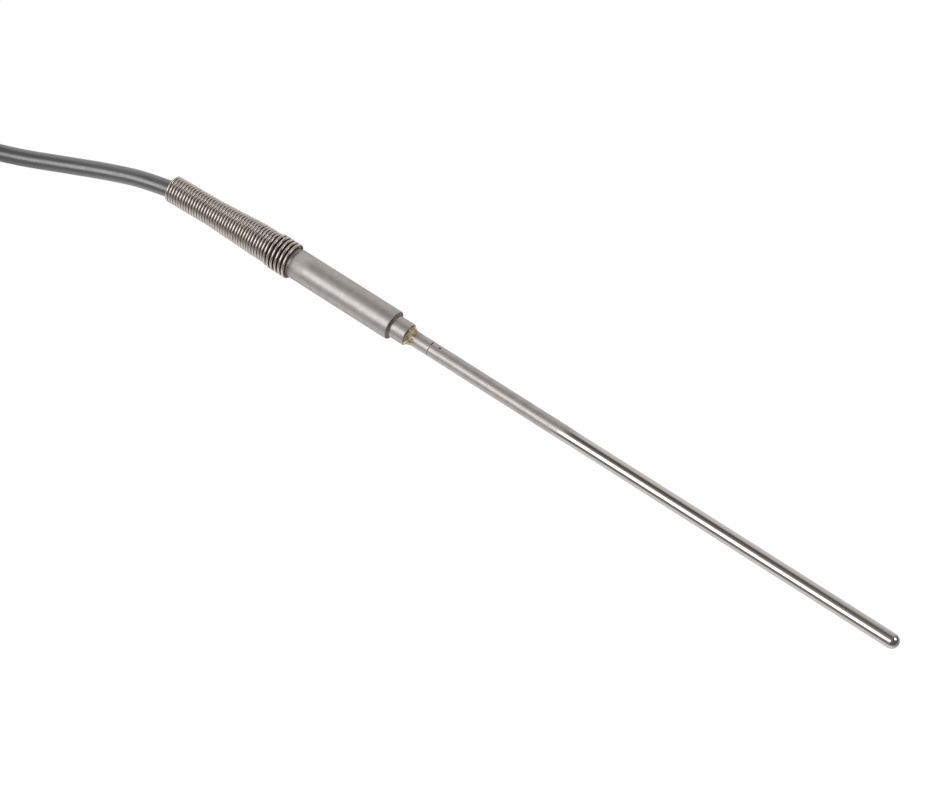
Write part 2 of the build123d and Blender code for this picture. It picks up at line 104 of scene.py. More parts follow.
LEAD_ROUTE = [
    (-99.0, 0.0, 0.0),
    (-118.0, -3.3, -0.7),
    (-134.0, -8.4, -2.2),
    (-152.0, -16.0, -3.5),
    (-171.0, -24.9, LAID_Z),
    (-186.0, -31.0, LAID_Z + 1.6),
    (-200.0, -35.2, LAID_Z + 5.6),
    (-213.0, -35.6, LAID_Z + 7.9),
]
TAIL_ROUTE = [
    (-324.0, -45.3, LAID_Z),
    (-335.0, -44.4, LAID_Z + 0.2),
    (-344.5, -42.0, LAID_Z + 1.1),
    (-353.5, -38.0, LAID_Z + 2.3),
    (-362.0, PLUG_Y, PLUG_Z),
    (-371.0, PLUG_Y, PLUG_Z),
    (-381.0, PLUG_Y, PLUG_Z),
]

# The hank: five runs through the tie, three side by side below and two in the valleys above,
# joined by two folds at each end.
TIE_X = -274.0
TIE_Y = -17.0
TIE_THICKNESS = 1.3
LOW_Z = FLOOR_Z + TIE_THICKNESS + CORD_RADIUS
TOP_Z = LOW_Z + CORD_DIAMETER * math.sin(math.radians(60))
FOLD_RADIUS = 21.6
FOLD_REACH = 42.0  # from the tie to the middle of a fold
FIRST_BEND = 27.0
BENDS = 3  # control points in each half of a run's two bends
FOLD_POINTS = 8
OUTER_FOLD_BULGE = 4.2
OVER_FOLDS = [  # the first run, over the near folds and down to its valley in the tie
    (-228.0, -31.5, OVER_Z + 1.0),
    (-243.0, -25.8, OVER_Z + 0.8),
    (-258.0, -21.6, TOP_Z + 0.6),
    (-270.0, -20.45, TOP_Z + 0.1),
]


def eased(share):
    share = min(1.0, max(0.0, share))
    return share * share * (3 - 2 * share)


def run_out(slot, flank, first_bend):
    """Points of a run from its slot in the tie out to a fold's flank: (along, across, share of the way)."""
    shift = abs(flank - slot)
    side = 1 if flank > slot else -1
    both = (FOLD_REACH**2 + shift**2) / (2 * shift)
    second_bend = both - first_bend
    step = math.asin(FOLD_REACH / both) / BENDS
    points = []
    for number in range(BENDS):
        turn = (number + 0.5) * step
        radius = first_bend / math.cos(step / 2)
        across = first_bend - radius * math.cos(turn)
        points.append((radius * math.sin(turn), slot + side * across, (number + 0.5) / (2 * BENDS)))
    for number in range(BENDS):
        turn = (BENDS - number - 0.5) * step
        radius = second_bend / math.cos(step / 2)
        along = FOLD_REACH - radius * math.sin(turn)
        across = shift - second_bend + radius * math.cos(turn)
        points.append((along, slot + side * across, (BENDS + number + 0.5) / (2 * BENDS)))
    return points


def laid_run(slot, slot_z, flank, flank_z, first_bend=FIRST_BEND):
    return [
        (along, across, slot_z + (flank_z - slot_z) * eased(share))
        for along, across, share in run_out(slot, flank, first_bend)
    ]


def fold(end, out, back, descent=eased, bulge=0.0):
    """Points of one fold, from the tie out along one run, round, and back to the tie along the other."""
    going, coming = laid_run(*out), laid_run(*back)
    out_flank, out_z = out[2:4]
    back_flank, back_z = back[2:4]
    middle = (out_flank + back_flank) / 2
    radius = abs(out_flank - back_flank) / 2
    side = 1 if out_flank > back_flank else -1
    wide = radius / math.cos(math.pi / (2 * FOLD_POINTS))
    bend = []
    for number in range(FOLD_POINTS):
        share = (number + 0.5) / FOLD_POINTS
        sine, cosine = math.sin(share * math.pi), math.cos(share * math.pi)
        along = FOLD_REACH + (wide + bulge * sine) * sine
        bend.append((along, middle + side * wide * cosine, out_z + (back_z - out_z) * descent(share)))
    points = going + bend + coming[::-1]
    return [(TIE_X + end * along, TIE_Y + across, z) for along, across, z in points]


def hank_route():
    near, far = 1, -1
    step, flank, outer = CORD_DIAMETER, FOLD_RADIUS, FOLD_RADIUS + CORD_DIAMETER
    upper = OVER_Z + 0.1
    inner_bend = 28.5  # the outermost run keeps one diameter outside this one
    outer_run = (-step, LOW_Z, -outer, LAID_Z, inner_bend - step)
    folds = fold(far, (-step / 2, TOP_Z, -flank, upper), (step / 2, TOP_Z, flank, upper))
    folds += fold(
        near,
        (step / 2, TOP_Z, flank, upper),
        (0.0, LOW_Z, -flank, LAID_Z, inner_bend),
        descent=lambda share: eased((share - 0.18) / 0.555),
    )
    folds += fold(far, (0.0, LOW_Z, -flank, LAID_Z, inner_bend), (step, LOW_Z, flank, LAID_Z))
    folds += fold(near, (step, LOW_Z, flank, LAID_Z), outer_run, bulge=OUTER_FOLD_BULGE)
    way_out = [(TIE_X - along, TIE_Y + across, z) for along, across, z in laid_run(*outer_run)]
    return OVER_FOLDS + folds + way_out


def make_cord():
    points = LEAD_ROUTE + hank_route() + TAIL_ROUTE
    data = bpy.data.curves.new("lead_cord", "CURVE")
    data.dimensions = "3D"
    spline = data.splines.new("NURBS")
    spline.points.add(len(points) - 1)
    for control, point in zip(spline.points, points):
        control.co = (*in_metres(point), 1.0)
    spline.order_u = 3
    spline.use_endpoint_u = True
    spline.resolution_u = 8
    data.bevel_depth = CORD_RADIUS * MM
    data.bevel_resolution = 10
    data.use_fill_caps = True
    cord = bpy.data.objects.new("lead_cord", data)
    scene.collection.objects.link(cord)
    return cord


cord = make_cord()


# ---- sizes of the tube and the sleeve

RING_X = 17.7
RING_HALF = 0.17
RING_DEPTH = 0.12
DASH_HALF = 0.34
DASH_TURNS = (-5.0, 28.0)  # degrees from the top towards +Y
PRICK_X = 21.3
PRICK_TURN = 16.6
PRICK_RADIUS = 0.46
PRICK_DEPTH = 0.18
TUBE_RADIUS = 3.0
BRIGHT_RADIUS = 2.875
BRIGHT_START_X = 77.6
BRIGHT_FULL_X = 87.3
TIP_X = 226.2
TUBE_REAR_X = -23.8
TUBE_AROUND = 144
SLEEVE_RADIUS = 6.0
SLEEVE_REAR_X = -57.2
SLEEVE_AROUND = 144
SEAT_RADIUS = 5.8  # under the spring's last coils
SEAT_END_X = -47.5
NECK_RADIUS = 4.55
NECK_END_X = 7.2
NECK_EDGE = 0.25
SHOULDER_HOLLOW = 0.9  # radius of the fillet between the shoulder and the neck
LEAD_BORE = 3.55
CAVITY_RADIUS = 4.8
CAVITY_X = (-44.0, -12.0)
TUBE_BORE = 3.02


# ---- materials


class Nodes:
    """Short calls for the nodes of a material or a world."""

    def __init__(self, owner):
        owner.use_nodes = True
        self.tree = owner.node_tree

    def node(self, kind, *inputs, **settings):
        """A node whose inputs, in order, are linked sockets or plain values. None leaves an input alone."""
        made = self.tree.nodes.new("ShaderNode" + kind)
        for name, value in settings.items():
            setattr(made, name, value)
        for socket, value in zip(made.inputs, inputs):
            if isinstance(value, bpy.types.NodeSocket):
                self.tree.links.new(value, socket)
            elif value is not None:
                socket.default_value = value
        return made

    def math(self, operation, first, second=0.0, third=0.0):
        return self.node("Math", first, second, third, operation=operation).outputs[0]

    def spread(self, value, low, high, from_value=0.0, to_value=1.0, kind="LINEAR"):
        """value from low to high, mapped to from_value up to to_value and held outside."""
        made = self.node("MapRange", value, low, high, from_value, to_value, interpolation_type=kind)
        return made.outputs[0]

    def mixed(self, share, first, second):
        """A colour from first at share 0 to second at share 1."""
        made = self.node("Mix", data_type="RGBA")
        for socket, value in ((0, share), (6, first), (7, second)):
            if isinstance(value, bpy.types.NodeSocket):
                self.tree.links.new(value, made.inputs[socket])
            else:
                made.inputs[socket].default_value = (*value, 1.0) if socket else value
        return made.outputs[2]


class Shader(Nodes):
    """One procedural material: a Principled shader and what feeds it."""

    def __init__(self, name, colour, roughness, metallic=0.0, **fixed):
        self.material = bpy.data.materials.new(name)
        super().__init__(self.material)
        self.shader = self.tree.nodes["Principled BSDF"]
        self.shader.inputs["Base Color"].default_value = (*colour, 1.0)
        self.shader.inputs["Roughness"].default_value = roughness
        self.shader.inputs["Metallic"].default_value = metallic
        for socket, value in fixed.items():
            self.shader.inputs[socket.replace("_", " ")].default_value = value
        self.place = self.node("TexCoord").outputs["Object"]

    def axes(self):
        """x, y and z of the point, in metres."""
        split = self.node("SeparateXYZ", self.place)
        return split.outputs[0], split.outputs[1], split.outputs[2]

    def ramp(self, value, low, high, from_value=0.0, to_value=1.0):
        """As spread, with soft ends."""
        return self.spread(value, low, high, from_value, to_value, "SMOOTHSTEP")

    def noise(self, scale, stretch=(1.0, 1.0, 1.0), detail=3.0, roughness=0.55):
        """Noise with scale features a metre, stretched along the axes."""
        mapped = self.node("Mapping", self.place)
        mapped.inputs["Scale"].default_value = stretch
        made = self.node("TexNoise", mapped.outputs[0])
        made.inputs["Scale"].default_value = scale
        made.inputs["Detail"].default_value = detail
        made.inputs["Roughness"].default_value = roughness
        return made.outputs["Fac"]

    def feed(self, socket, value):
        self.tree.links.new(value, self.shader.inputs[socket])

    def bump(self, height, depth):
        """Relief of depth millimetres where height is 1."""
        made = self.node("Bump")
        made.inputs["Strength"].default_value = 1.0
        made.inputs["Distance"].default_value = depth * MM
        self.tree.links.new(height, made.inputs["Height"])
        self.feed("Normal", made.outputs[0])

    def blasted(self):
        """Roughness of a blasted surface: bright specks in a dull ground."""
        return self.ramp(self.noise(15000.0, detail=1.0), 0.32, 0.68, BLASTED[0], BLASTED[1])


BLASTED = (0.33, 0.60)  # roughness of the specks and of the ground
WIRE_OUTER = "outer"  # how far a point of the spring's wire faces outwards, from -1 to 1
TURNING = (1.0, 0.02, 0.02)  # noise drawn out round the part
STEEL = (0.600, 0.575, 0.560)
STEEL_SHADE = (0.530, 0.505, 0.490)
MIRROR_STEEL = (0.630, 0.592, 0.570)
SHOULDER_PAINTED_SHADE = (0.130, 0.102, 0.090)  # painted shade on the shoulder's face and in the hollow at its foot
SHOULDER_SHADE_SHARE = 0.78
SHOULDER_SHADE_X = (1.25, 0.7)
COIL_PAINTED_SHADOW = (0.075, 0.058, 0.048)  # painted shadow on the sleeve under the spring
SATIN_METAL = 0.84  # the satin's dull film, as less than full metal
HEAT_TINT = (0.42, 0.31, 0.22)  # left on the tube by the brazing
HEAT_X = (14.0, 10.4)
# painted shade in the scribed ring's groove
RING_PAINTED_SHADE = (0.06, 0.05, 0.045)
POLISH_X = (80.5, 87.5)  # where the satin ends and where the mirror is full, on the probe's axis
POLISH_SLANT = -1.9
POLISH_RAGGED = 3.0


def sleeve_steel():
    made = Shader("sleeve_steel", STEEL, 0.4, SATIN_METAL, Specular_Tint=(0.30, 0.29, 0.28, 1.0))
    marks = made.noise(2600.0, TURNING)
    mottle = made.noise(420.0)
    colour = made.mixed(made.ramp(mottle, 0.3, 0.7), STEEL, STEEL_SHADE)
    x, y, z = made.axes()
    radius = made.math("SQRT", made.math("ADD", made.math("MULTIPLY", y, y), made.math("MULTIPLY", z, z)))
    # painted shade: the shoulder's face and the hollow at its foot are darkened
    inside_edge = made.ramp(radius, (SLEEVE_RADIUS - 0.05) * MM, (SLEEVE_RADIUS - 0.2) * MM)
    past_edge = made.math("MULTIPLY", made.ramp(x, -0.2 * MM, -0.02 * MM), inside_edge)
    shoulder = made.math("MULTIPLY", past_edge, made.ramp(x, SHOULDER_SHADE_X[0] * MM, SHOULDER_SHADE_X[1] * MM))
    colour = made.mixed(made.math("MULTIPLY", shoulder, SHOULDER_SHADE_SHARE), colour, SHOULDER_PAINTED_SHADE)
    # painted shadow on the seat under the spring's coils, strongest in a band by the last coil
    under_coil_shadow = made.ramp(x, (SEAT_END_X + 0.2) * MM, SEAT_END_X * MM)
    last_coil_shadow = made.ramp(x, (SEAT_END_X - 0.5) * MM, (SEAT_END_X - 0.2) * MM, 0.3, 0.75)
    colour = made.mixed(made.math("MULTIPLY", under_coil_shadow, last_coil_shadow), colour, COIL_PAINTED_SHADOW)
    made.feed("Base Color", colour)
    made.feed("Roughness", made.blasted())
    made.bump(marks, 0.0025)
    return made.material


def probe_steel():
    """Satin behind, mirror-bright ahead, with a slanting, slightly ragged start to the polish."""
    made = Shader("probe_steel", STEEL, 0.36, 1.0, Specular_Tint=(0.50, 0.485, 0.47, 1.0))
    x, y, z = made.axes()
    marks = made.noise(2600.0, TURNING)
    cloud = made.noise(300.0)
    slant = made.math("MULTIPLY_ADD", y, POLISH_SLANT, x)
    ragged = made.math("MULTIPLY_ADD", cloud, POLISH_RAGGED * MM, slant)
    polish = made.ramp(ragged, POLISH_X[0] * MM, POLISH_X[1] * MM)
    bright = made.ramp(cloud, 0.3, 0.7, 0.09, 0.13)
    rough = made.node("Mix", polish, None, made.blasted(), bright, data_type="FLOAT")
    made.feed("Roughness", rough.outputs[0])
    made.feed("Metallic", made.ramp(polish, 0.0, 1.0, SATIN_METAL, 1.0))
    colour = made.mixed(made.ramp(cloud, 0.3, 0.7), STEEL, STEEL_SHADE)
    colour = made.mixed(polish, colour, MIRROR_STEEL)
    heat = made.math("MULTIPLY", made.ramp(x, HEAT_X[0] * MM, HEAT_X[1] * MM), made.ramp(cloud, 0.4, 0.62))
    colour = made.mixed(made.math("MULTIPLY", heat, 0.6), colour, HEAT_TINT)
    # painted shade in the scribed ring's groove
    in_ring = made.math("COMPARE", x, RING_X * MM, 0.1 * MM)
    colour = made.mixed(made.math("MULTIPLY", in_ring, 0.75), colour, RING_PAINTED_SHADE)
    made.feed("Base Color", colour)
    depth = made.math("MULTIPLY", marks, made.math("SUBTRACT", 1.0, polish))
    made.bump(depth, 0.001)
    return made.material


def spring_steel():
    """Bright wire, with painted shade where neighbouring coils meet."""
    made = Shader("spring_steel", (0.640, 0.600, 0.560), 0.24, 1.0, Specular_Tint=(0.55, 0.52, 0.50, 1.0))
    wire_mottle = made.noise(900.0)
    colour = made.mixed(made.ramp(wire_mottle, 0.35, 0.75), (0.680, 0.635, 0.590), (0.540, 0.480, 0.425))
    outer = made.node("Attribute", attribute_name=WIRE_OUTER).outputs["Fac"]
    ragged = made.math("MULTIPLY_ADD", wire_mottle, 0.25, outer)
    # painted shade: the wire's sides and inside, between the coils, are darkened
    made.feed("Base Color", made.mixed(made.ramp(ragged, 0.85, 0.45), colour, (0.190, 0.146, 0.122)))
    made.feed("Roughness", made.ramp(wire_mottle, 0.3, 0.7, 0.20, 0.32))
    return made.material


def braze_metal():
    made = Shader("braze_metal", (0.60, 0.50, 0.34), 0.36, 1.0)
    grain = made.noise(1150.0, detail=4.0)
    patch = made.noise(520.0)
    x, y, z = made.axes()
    straw = made.mixed(made.ramp(grain, 0.38, 0.62), (0.760, 0.680, 0.520), (0.360, 0.285, 0.160))
    copper = made.math("MULTIPLY", made.ramp(y, 0.2 * MM, 2.4 * MM), made.ramp(patch, 0.38, 0.6))
    straw = made.mixed(copper, straw, (0.520, 0.310, 0.240))
    rim = made.math("MULTIPLY", made.ramp(x, 7.75 * MM, 7.3 * MM), 0.85)
    made.feed("Base Color", made.mixed(rim, straw, (0.090, 0.070, 0.055)))
    made.feed("Roughness", made.ramp(grain, 0.3, 0.7, 0.42, 0.66))
    made.bump(grain, 0.14)
    return made.material


def cable_jacket():
    made = Shader("cable_jacket", (0.092, 0.092, 0.098), 0.28, IOR=1.75, Specular_IOR_Level=1.0)
    fine = made.noise(5200.0, detail=2.0)
    broad = made.noise(90.0)
    made.feed("Base Color", made.mixed(broad, (0.086, 0.086, 0.091), (0.103, 0.103, 0.109)))
    made.feed("Roughness", made.ramp(made.noise(260.0), 0.3, 0.7, 0.25, 0.33))
    made.bump(fine, 0.004)
    return made.material


def moulded_plastic(name, colour, shade, roughness=0.5, grain=2400.0, depth=0.03):
    """Moulded plastic with a fine spark-eroded grain."""
    made = Shader(name, colour, roughness)
    made.feed("Base Color", made.mixed(made.noise(110.0), colour, shade))
    spark = made.noise(grain, detail=4.0)
    made.feed("Roughness", made.ramp(spark, 0.3, 0.7, roughness - 0.06, roughness + 0.08))
    made.bump(spark, depth)
    return made.material


def plated_metal(name, colour, shade, roughness=0.28, stretch=(1.0, 1.0, 1.0)):
    made = Shader(name, colour, roughness, 1.0)
    cloud = made.noise(700.0, stretch)
    made.feed("Base Color", made.mixed(made.ramp(cloud, 0.3, 0.7), colour, shade))
    made.feed("Roughness", made.ramp(cloud, 0.3, 0.7, roughness - 0.05, roughness + 0.09))
    made.bump(made.noise(3200.0, stretch), 0.008)
    return made.material


def porous(name, colour, shade, grain=1500.0, depth=0.05):
    """Fired ceramic and dry cement."""
    made = Shader(name, colour, 0.75)
    grit = made.noise(grain, detail=6.0, roughness=0.7)
    made.feed("Base Color", made.mixed(made.ramp(grit, 0.35, 0.65), colour, shade))
    made.bump(grit, depth)
    return made.material


# ---- meshes


def make_piece(name, points, faces, material, sharp=35.0):
    """A mesh from points in millimetres, smooth but for edges sharper than the angle sharp."""
    data = bpy.data.meshes.new(name)
    data.from_pydata([in_metres(point) for point in points], [], faces)
    clean = bmesh.new()
    clean.from_mesh(data)
    bmesh.ops.recalc_face_normals(clean, faces=clean.faces)
    clean.to_mesh(data)
    clean.free()
    data.polygons.foreach_set("use_smooth", [True] * len(data.polygons))
    data.set_sharp_from_angle(angle=math.radians(sharp))
    data.materials.append(material)
    piece = bpy.data.objects.new(name, data)
    scene.collection.objects.link(piece)
    return piece


def joined_rings(rings, closed=False):
    """Points and faces of a skin over rings of equal length, capped at both ends unless closed in a loop."""
    around = len(rings[0])
    points = [point for ring in rings for point in ring]
    faces = []
    for number in range(len(rings) if closed else len(rings) - 1):
        here, there = number * around, (number + 1) % len(rings) * around
        for corner in range(around):
            after = (corner + 1) % around
            faces.append((here + corner, here + after, there + after, there + corner))
    if not closed:
        faces.append(tuple(range(around)))
        faces.append(tuple(range(len(points) - around, len(points))))
    return points, faces


def turned_ring(x, radius, around, shift=lambda x, turn, radius: radius):
    """A ring round the X axis. turn is 0 at the top and grows towards +Y."""
    ring = []
    for number in range(around):
        turn = 2 * math.pi * number / around
        out = shift(x, turn, radius)
        ring.append((x, out * math.sin(turn), out * math.cos(turn)))
    return ring


def rounded(x, radius, size, start, stop, steps=4):
    """Outline points of a small arc about (x, radius), from start to stop degrees."""
    angles = [math.radians(start + (stop - start) * step / steps) for step in range(steps + 1)]
    return [(x + size * math.cos(angle), radius + size * math.sin(angle)) for angle in angles]


def tube_outline():
    outline = [(TUBE_REAR_X, 2.3), (TUBE_REAR_X, TUBE_RADIUS - 0.1), (TUBE_REAR_X + 0.1, TUBE_RADIUS)]
    outline += [(x, TUBE_RADIUS) for x in (-10.0, 0.0, 7.0, 11.0, 14.0, 16.5)]
    for number in range(-8, 9):
        outline.append((RING_X + number * 0.08, TUBE_RADIUS))
    for number in range(-6, 7):
        outline.append((PRICK_X + number * 0.1, TUBE_RADIUS))
    outline += [(x, TUBE_RADIUS) for x in (24.0, 30.0, 40.0, 50.0, 60.0, 70.0)]
    for number in range(13):
        share = number / 12
        x = BRIGHT_START_X + share * (BRIGHT_FULL_X - BRIGHT_START_X)
        outline.append((x, TUBE_RADIUS + eased(share) * (BRIGHT_RADIUS - TUBE_RADIUS)))
    outline += [(x, BRIGHT_RADIUS) for x in range(95, 223, 8)]
    dome_x = TIP_X - BRIGHT_RADIUS
    outline += rounded(dome_x, 0.0, BRIGHT_RADIUS, 90.0, 1.5, 20)
    return outline


def marked_radius(x, turn, radius):
    """The tube's radius with the scribed ring and the pricked dot cut in."""
    degrees = math.degrees(turn)
    degrees -= 360 if degrees > 180 else 0
    low, high = DASH_TURNS
    dash = eased((degrees - low) / 4) * eased((high - degrees) / 4)
    half = RING_HALF + (DASH_HALF - RING_HALF) * dash
    cut = (RING_DEPTH + 0.1 * dash) * max(0.0, 1 - abs(x - RING_X) / half)
    off = math.hypot(x - PRICK_X, TUBE_RADIUS * math.radians(degrees - PRICK_TURN))
    return radius - cut - PRICK_DEPTH * eased(1.2 - off / PRICK_RADIUS)


def make_tube(material, dark):
    rings = [turned_ring(x, radius, TUBE_AROUND, marked_radius) for x, radius in tube_outline()]
    tube = make_piece("probe_tube", *joined_rings(rings), material)
    tube.data.materials.append(dark)
    # the pricked dot and the ring's dash take the second material: painted shade in these recesses
    for face in tube.data.polygons:
        x, y, z = face.center / MM
        turn = math.degrees(math.atan2(y, z))
        in_prick = math.hypot(x - PRICK_X, TUBE_RADIUS * math.radians(turn - PRICK_TURN)) < PRICK_RADIUS
        low, high = DASH_TURNS
        in_dash = abs(x - RING_X) < DASH_HALF - 0.06 and low + 1 < turn < high - 1
        if in_prick or in_dash:
            face.material_index = 1
    return tube


# Sleeve
SLEEVE_OUTLINE = [
    (SLEEVE_REAR_X, LEAD_BORE),
    (SLEEVE_REAR_X, SEAT_RADIUS - 0.6),
    (SLEEVE_REAR_X + 0.2, SEAT_RADIUS - 0.25),
    (SLEEVE_REAR_X + 0.6, SEAT_RADIUS),
    (SEAT_END_X, SEAT_RADIUS),
    (SEAT_END_X, SLEEVE_RADIUS - 0.08),
    (SEAT_END_X + 0.08, SLEEVE_RADIUS),
    *((x, SLEEVE_RADIUS) for x in (-40.0, -30.0, -20.0, -10.0)),
    *rounded(-NECK_EDGE, SLEEVE_RADIUS - NECK_EDGE, NECK_EDGE, 90.0, 0.0, 5),
    (0.0, NECK_RADIUS + SHOULDER_HOLLOW),
    *rounded(SHOULDER_HOLLOW, NECK_RADIUS + SHOULDER_HOLLOW, SHOULDER_HOLLOW, 180.0, 270.0, 8),
    (2.4, NECK_RADIUS),
    (4.5, NECK_RADIUS),
    *rounded(NECK_END_X - NECK_EDGE, NECK_RADIUS - NECK_EDGE, NECK_EDGE, 90.0, 0.0, 4),
    (NECK_END_X, 3.6),
    (NECK_END_X, TUBE_BORE),
    (CAVITY_X[1], TUBE_BORE),
    (CAVITY_X[1], CAVITY_RADIUS),
    (CAVITY_X[0], CAVITY_RADIUS),
    (CAVITY_X[0], LEAD_BORE),
]


def make_sleeve(material):
    rings = [turned_ring(x, radius, SLEEVE_AROUND) for x, radius in SLEEVE_OUTLINE]
    return make_piece("sleeve", *joined_rings(rings, closed=True), material, sharp=50.0)


# Braze
BRAZE_LENGTH = 3.6
BRAZE_ROOT = 4.28
BRAZE_RINGS = 22
BRAZE_AROUND = 96
BRAZE_HOLLOW = 1.9  # how sharply the fillet curves in
BRAZE_RUN = 0.9  # how far its front edge wanders
BRAZE_SKIN = 0.11


def make_braze(material):
    """A fillet that ran unevenly: its length, hollow and skin vary round the tube."""
    rings = []
    for number in range(BRAZE_RINGS + 1):
        share = number / BRAZE_RINGS
        ring = []
        for step in range(BRAZE_AROUND):
            turn = 2 * math.pi * step / BRAZE_AROUND
            compass = Vector((math.sin(turn), math.cos(turn), 0.0))
            run = noise.noise(compass * 1.3 + Vector((4.0, 2.0, 1.0)))
            skin = noise.noise(compass * 5.0 + Vector((share * 3.2, 0.0, 7.0)))
            x = NECK_END_X - 0.02 + share * (BRAZE_LENGTH + BRAZE_RUN * run - 0.3)
            hollow = (1 - share) ** BRAZE_HOLLOW
            rise = (BRAZE_ROOT - TUBE_RADIUS) * hollow + BRAZE_SKIN * skin * math.sin(math.pi * share)
            radius = TUBE_RADIUS + 0.015 + max(0.0, rise)
            ring.append((x, radius * math.sin(turn), radius * math.cos(turn)))
        rings.append(ring)
    ends = (NECK_END_X + BRAZE_LENGTH, NECK_END_X - 0.02)
    inner = [turned_ring(x, TUBE_RADIUS - 0.02, BRAZE_AROUND) for x in ends]
    return make_piece("braze_ring", *joined_rings(rings + inner, closed=True), material)


# Spring
WIRE_RADIUS = 0.625
SPRING_START_X = -108.4
ON_SLEEVE = 6.65
SPRING_SECTIONS = (  # coils, pitch, first and last radius to the wire's middle
    (15, 1.31, 4.91, 4.91),
    (17, 1.31, 4.91, 6.04),
    (5, 1.40, 6.04, 6.04),
    (1, 1.87, 6.04, ON_SLEEVE),
    (5, 1.87, ON_SLEEVE, ON_SLEEVE),
)
LEAN_X = -66.5
LEAN = math.tan(math.radians(1.75))
COIL_STEPS = 44
RADIUS_WANDER = 0.035
PITCH_WANDER = 0.05
WIRE_AROUND = 12
INNER_LEAD_X = (-42.0, -44.0, *range(-48, -100, -2), -100.5)


def leaning(x, y):
    """y of a point that follows the lean of the spring's slim end."""
    past = max(0.0, LEAN_X - x)
    return y - LEAN * past * past / (past + 3.0)


def spring_line():
    line = []
    x, turn = SPRING_START_X, 0.0
    for coils, pitch, first, last in SPRING_SECTIONS:
        steps = coils * COIL_STEPS
        for step in range(steps):
            share = step / steps
            here = x + share * coils * pitch
            angle = turn + 2 * math.pi * coils * share
            radius = first + (last - first) * share
            radius += RADIUS_WANDER * noise.noise(Vector((here * 0.8, 3.0, 0.0)))
            along = here + PITCH_WANDER * noise.noise(Vector((here * 0.55, 9.0, 0.0)))
            y = leaning(along, radius * math.cos(angle))
            line.append(Vector((along, y, radius * math.sin(angle))))
        x += coils * pitch
        turn += 2 * math.pi * coils
    return line


def swept(line, radius, around):
    """Rings of a round wire along a line of close points."""
    rings = []
    last = len(line) - 1
    for number, point in enumerate(line):
        ahead = (line[min(number + 1, last)] - line[max(number - 1, 0)]).normalized()
        side = ahead.cross(Vector((1.0, 0.0, 0.0))).normalized()
        other = ahead.cross(side)
        ring = []
        for corner in range(around):
            turn = 2 * math.pi * corner / around
            ring.append(tuple(point + (side * math.cos(turn) + other * math.sin(turn)) * radius))
        rings.append(ring)
    return rings


def make_spring(material):
    line = spring_line()
    points, faces = joined_rings(swept(line, WIRE_RADIUS, WIRE_AROUND))
    spring = make_piece("strain_relief_spring", points, faces, material, sharp=60.0)
    outer = spring.data.attributes.new(WIRE_OUTER, "FLOAT", "POINT")
    for number, point in enumerate(points):
        middle = line[number // WIRE_AROUND]
        outwards = Vector((0.0, middle.y - leaning(middle.x, 0.0), middle.z)).normalized()
        outer.data[number].value = (Vector(point) - middle).dot(outwards) / WIRE_RADIUS
    return spring


def make_inner_lead(material):
    """The lead where it runs through the sleeve's end and the spring."""
    rings = []
    for place in INNER_LEAD_X:
        ring = turned_ring(place, CORD_RADIUS - 0.03, 40)
        rings.append([(x, leaning(x, y), z) for x, y, z in ring])
    return make_piece("lead_in_spring", *joined_rings(rings), material)


# Tie
TIE_WIDTH = 5.0
STRAP_THICKNESS = 1.15
HEAD_SIZE = (7.0, 8.0, 5.0)
HEAD_BEVEL = 0.7
TAIL_RIDGES = 25
TAIL_STEP = 0.5
TAIL_SLOPE = 14.0  # degrees below level
TAIL_START = (2.0, 2.9)  # from the head's middle, and above the run under it
TAIL_FULL = 19  # ridges before the end narrows
TAIL_NARROWS = 0.09


def strap_line():
    """The strap's inner line round the five runs, as (y, z) with the outward direction."""
    half, step = CORD_RADIUS, CORD_DIAMETER
    corners = [  # a run's place and the degrees from which to which the strap lies on it
        (-step, LOW_Z, 270, 150),
        (-half, TOP_Z, 150, 90),
        (half, TOP_Z, 90, 30),
        (step, LOW_Z, 30, -90),
    ]
    line = []
    for y, z, start, stop in corners:
        count = 8 if abs(start - stop) > 90 else 5
        for number in range(count + 1):
            angle = math.radians(start + (stop - start) * number / count)
            out = Vector((0.0, math.cos(angle), math.sin(angle)))
            line.append((Vector((TIE_X, TIE_Y + y, z)) + out * (half + 0.02), out))
    return line


def strap_ring(point, out, width, thickness):
    """A strap's section: flat inside, eased edges outside."""
    half = width / 2
    shape = [(-half, 0), (half, 0), (half, 0.7), (half - 0.35, 1), (-half + 0.35, 1), (-half, 0.7)]
    along = Vector((1.0, 0.0, 0.0))
    return [tuple(point + along * a + out * (b * thickness)) for a, b in shape]


def bevelled_block(low, high, bevel):
    """Points and faces of a block with all its edges rounded."""
    block = bmesh.new()
    bmesh.ops.create_cube(block, size=1.0)
    for vertex in block.verts:
        for axis in range(3):
            vertex.co[axis] = high[axis] if vertex.co[axis] > 0 else low[axis]
    bmesh.ops.bevel(block, geom=block.edges[:], offset=bevel, segments=3, profile=0.5, affect="EDGES")
    block.verts.index_update()
    points = [tuple(vertex.co) for vertex in block.verts]
    faces = [tuple(vertex.index for vertex in face.verts) for face in block.faces]
    block.free()
    return points, faces


def merged(*parts):
    points, faces = [], []
    for more_points, more_faces in parts:
        shift = len(points)
        points += more_points
        faces += [tuple(shift + index for index in face) for face in more_faces]
    return points, faces


